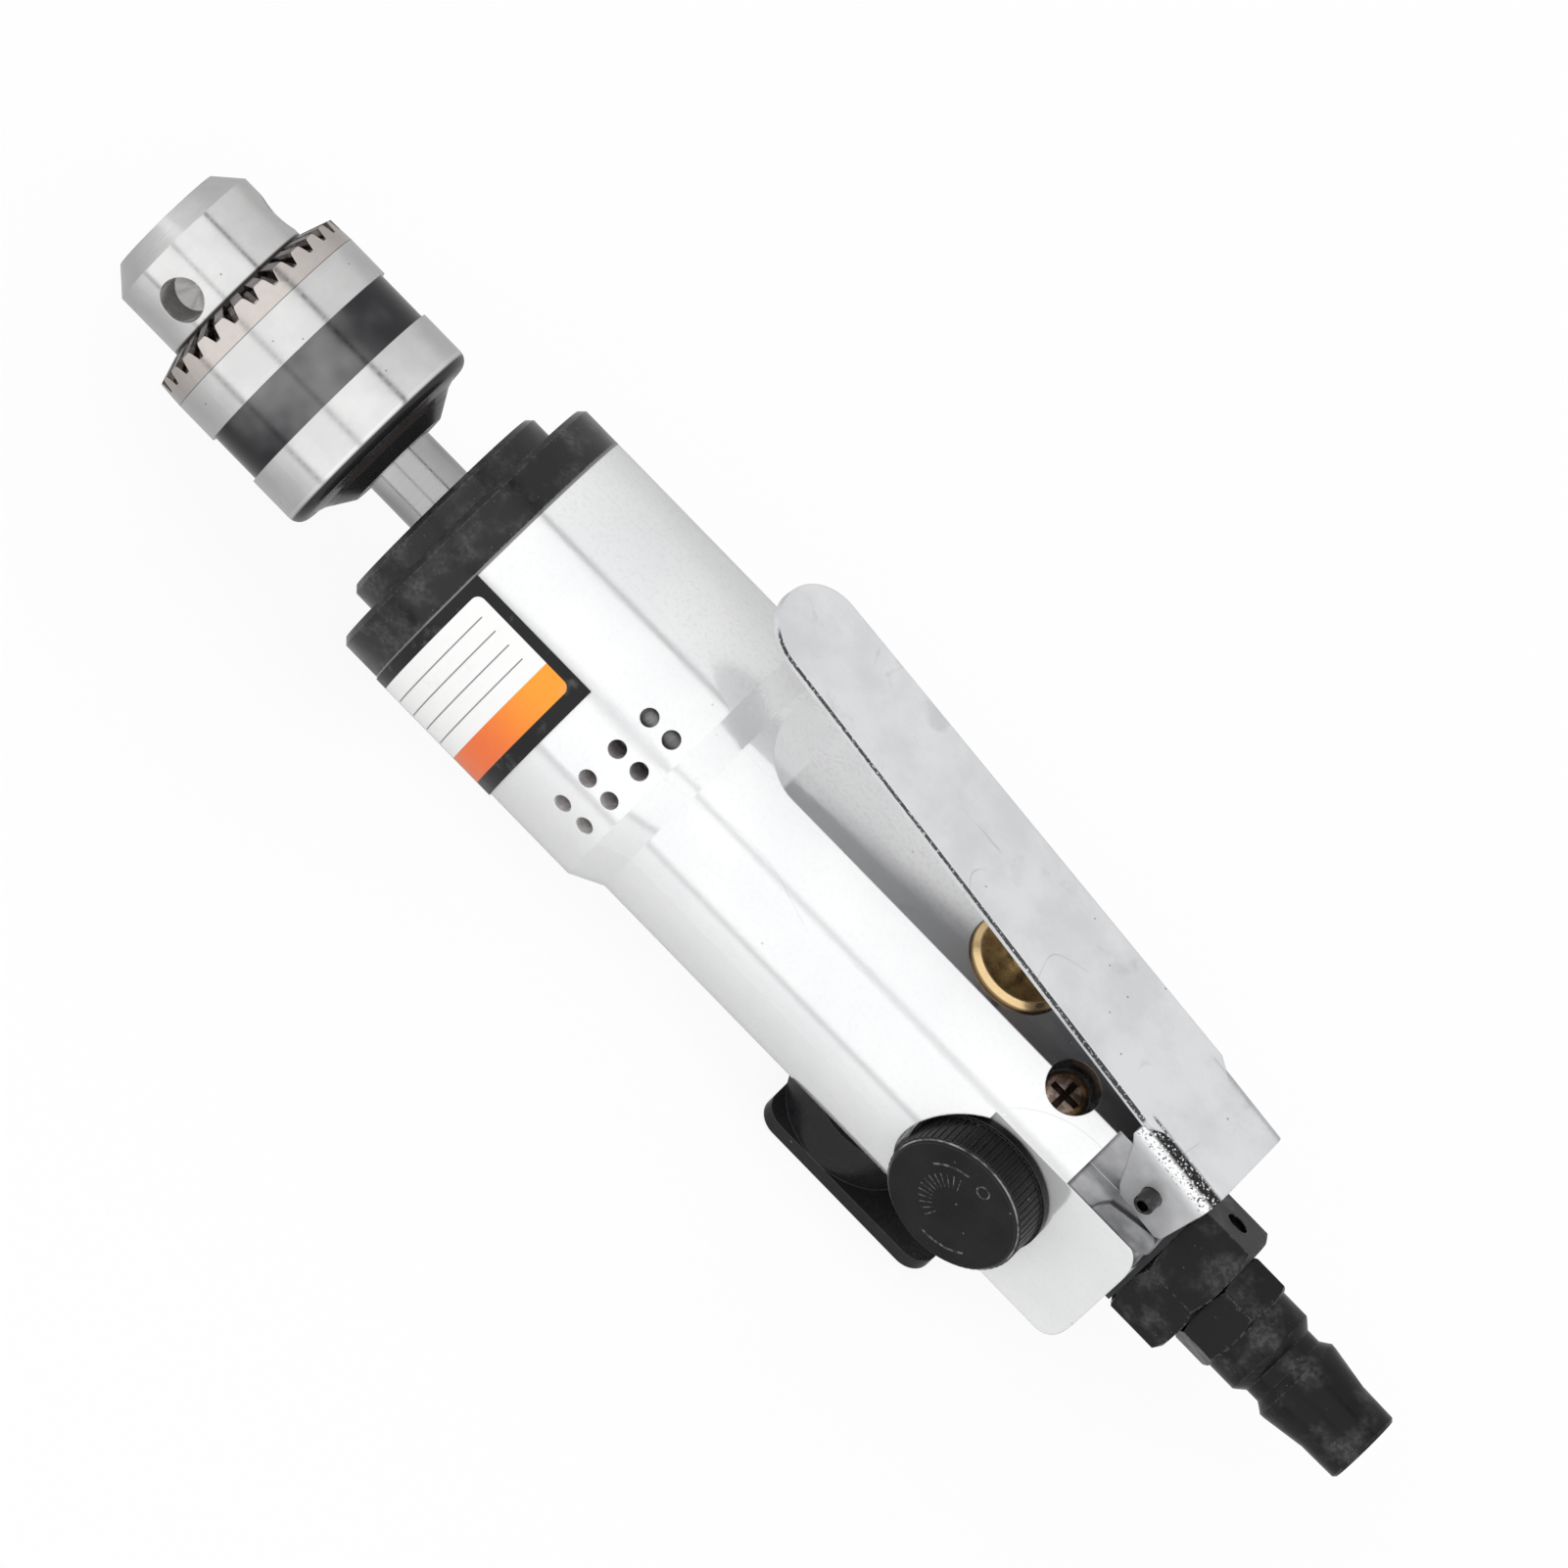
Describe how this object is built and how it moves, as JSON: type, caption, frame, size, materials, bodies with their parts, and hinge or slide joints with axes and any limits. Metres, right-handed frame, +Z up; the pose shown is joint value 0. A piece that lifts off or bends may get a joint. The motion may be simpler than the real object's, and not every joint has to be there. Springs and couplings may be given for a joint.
{
  "type": "air drill",
  "caption": "Straight hand-held air drill: keyed chuck, geared vane motor, thumb lever throttle, reverse lever, speed regulator knob and quick-change air plug.",
  "frame": {"origin": "centre of the air plug's end face, on the tool axis", "axes": "+X along the tool axis from the air plug to the chuck, +Z up on the side of the throttle lever, +Y on the side of the regulator knob"},
  "size_m": [0.228, 0.0454, 0.0652],
  "materials": {
    "housing_alloy": "satin polished",
    "black_steel": "black oxide",
    "bearing_steel": "ground",
    "gear_steel": "machined",
    "motor_iron": "machined",
    "vane_resin": "phenolic",
    "chuck_steel": "turned",
    "jaw_steel": "hardened",
    "seal_rubber": "matte",
    "spring_steel": "drawn",
    "lever_zinc": "zinc plated",
    "brass": "turned",
    "reverse_core": "ground",
    "black_paint": "black, semi-matte",
    "plate_film": "printed film"
  },
  "bodies": {
    "housing": {"housing": "housing_alloy", "clamp_nut": "black_steel", "spindle_bearing": "bearing_steel", "ring_gear": "gear_steel", "motor_cylinder": "motor_iron", "front_end_plate": "motor_iron", "rear_end_plate": "motor_iron", "rotor_bearing_front": "bearing_steel", "rotor_bearing_rear": "bearing_steel", "inlet_bushing": "black_steel", "inlet_washer": "seal_rubber", "inlet_screen": "spring_steel", "air_plug": "black_steel", "oil_screw": "black_steel", "lever_pin": "black_steel", "valve_bushing": "brass", "valve_spring": "spring_steel", "reverse_sleeve": "brass", "keeper_screw": "brass", "rating_plate": "plate_film"},
    "rotor": {"rotor": "gear_steel", "vane_1": "vane_resin", "vane_2": "vane_resin", "vane_3": "vane_resin", "vane_4": "vane_resin", "vane_5": "vane_resin"},
    "spindle": {"spindle": "bearing_steel", "planet_pins": "bearing_steel", "chuck_body": "chuck_steel", "chuck_screw": "black_steel"},
    "planet_1": {"planet_gear_1": "gear_steel"},
    "planet_2": {"planet_gear_2": "gear_steel"},
    "planet_3": {"planet_gear_3": "gear_steel"},
    "chuck_sleeve": {"chuck_sleeve": "chuck_steel", "jaw_nut": "chuck_steel"},
    "jaw_1": {"jaw_1": "jaw_steel"},
    "jaw_2": {"jaw_2": "jaw_steel"},
    "jaw_3": {"jaw_3": "jaw_steel"},
    "throttle_lever": {"throttle_lever": "lever_zinc"},
    "valve_stem": {"valve_stem": "bearing_steel", "valve_seal": "seal_rubber"},
    "reverse_lever": {"reverse_lever": "black_paint", "reverse_valve": "reverse_core", "reverse_screw": "bearing_steel"},
    "regulator": {"regulator_knob": "black_paint", "regulator_stem": "brass", "regulator_seal": "seal_rubber"}
  },
  "joints": [
    {"name": "spindle_spin", "type": "hinge", "parent": "housing", "child": "spindle", "pos_m": [0.16, 0, 0], "axis": [1, 0, 0], "continuous": true},
    {"name": "rotor_spin", "type": "hinge", "parent": "housing", "child": "rotor", "pos_m": [0.12, 0, 0], "axis": [1, 0, 0], "continuous": true},
    {"name": "planet_spin_1", "type": "hinge", "parent": "spindle", "child": "planet_1", "pos_m": [0.149, 0.0084, 0], "axis": [1, 0, 0], "continuous": true},
    {"name": "planet_spin_2", "type": "hinge", "parent": "spindle", "child": "planet_2", "pos_m": [0.149, -0.0042, 0.00727], "axis": [1, 0, 0], "continuous": true},
    {"name": "planet_spin_3", "type": "hinge", "parent": "spindle", "child": "planet_3", "pos_m": [0.149, -0.0042, -0.00727], "axis": [1, 0, 0], "continuous": true},
    {"name": "sleeve_turn", "type": "hinge", "parent": "spindle", "child": "chuck_sleeve", "pos_m": [0.2, 0, 0], "axis": [1, 0, 0], "range_deg": [0, 3000]},
    {"name": "jaw_slide_1", "type": "slide", "parent": "spindle", "child": "jaw_1", "axis": [0.9659, -0.1893, 0.1765], "range_m": [0, 0.01255]},
    {"name": "jaw_slide_2", "type": "slide", "parent": "spindle", "child": "jaw_2", "axis": [0.9659, -0.0582, -0.2522], "range_m": [0, 0.01255]},
    {"name": "jaw_slide_3", "type": "slide", "parent": "spindle", "child": "jaw_3", "axis": [0.9659, 0.2475, 0.0757], "range_m": [0, 0.01255]},
    {"name": "lever_press", "type": "hinge", "parent": "housing", "child": "throttle_lever", "pos_m": [0.0442, 0, 0.0154], "axis": [0, 1, 0], "range_deg": [0, 6.5], "stiffness_Nm_per_rad": 0.3, "springref_deg": -8.59},
    {"name": "stem_slide", "type": "slide", "parent": "housing", "child": "valve_stem", "axis": [0, 0, -1], "range_m": [0, 0.004], "stiffness_N_per_m": 80, "springref_m": -0.003, "deforming": ["valve_spring"]},
    {"name": "reverse_turn", "type": "hinge", "parent": "housing", "child": "reverse_lever", "pos_m": [0.0783, 0, -0.02], "axis": [0, 0, 1], "range_deg": [-45, 45]},
    {"name": "regulator_turn", "type": "hinge", "parent": "housing", "child": "regulator", "pos_m": [0.0617, 0.016, 0.001], "axis": [0, 1, 0], "range_deg": [0, 90]}
  ],
  "couplings": [
    {"joint": "rotor_spin", "follows": "spindle_spin", "ratio": 5},
    {"joint": "planet_spin_1", "follows": "spindle_spin", "ratio": -2.6667},
    {"joint": "planet_spin_2", "follows": "spindle_spin", "ratio": -2.6667},
    {"joint": "planet_spin_3", "follows": "spindle_spin", "ratio": -2.6667},
    {"joint": "jaw_slide_1", "follows": "sleeve_turn", "m_per_rad": 0.00023873},
    {"joint": "jaw_slide_2", "follows": "sleeve_turn", "m_per_rad": 0.00023873},
    {"joint": "jaw_slide_3", "follows": "sleeve_turn", "m_per_rad": 0.00023873},
    {"joint": "stem_slide", "follows": "lever_press", "m_per_rad": 0.03505}
  ]
}
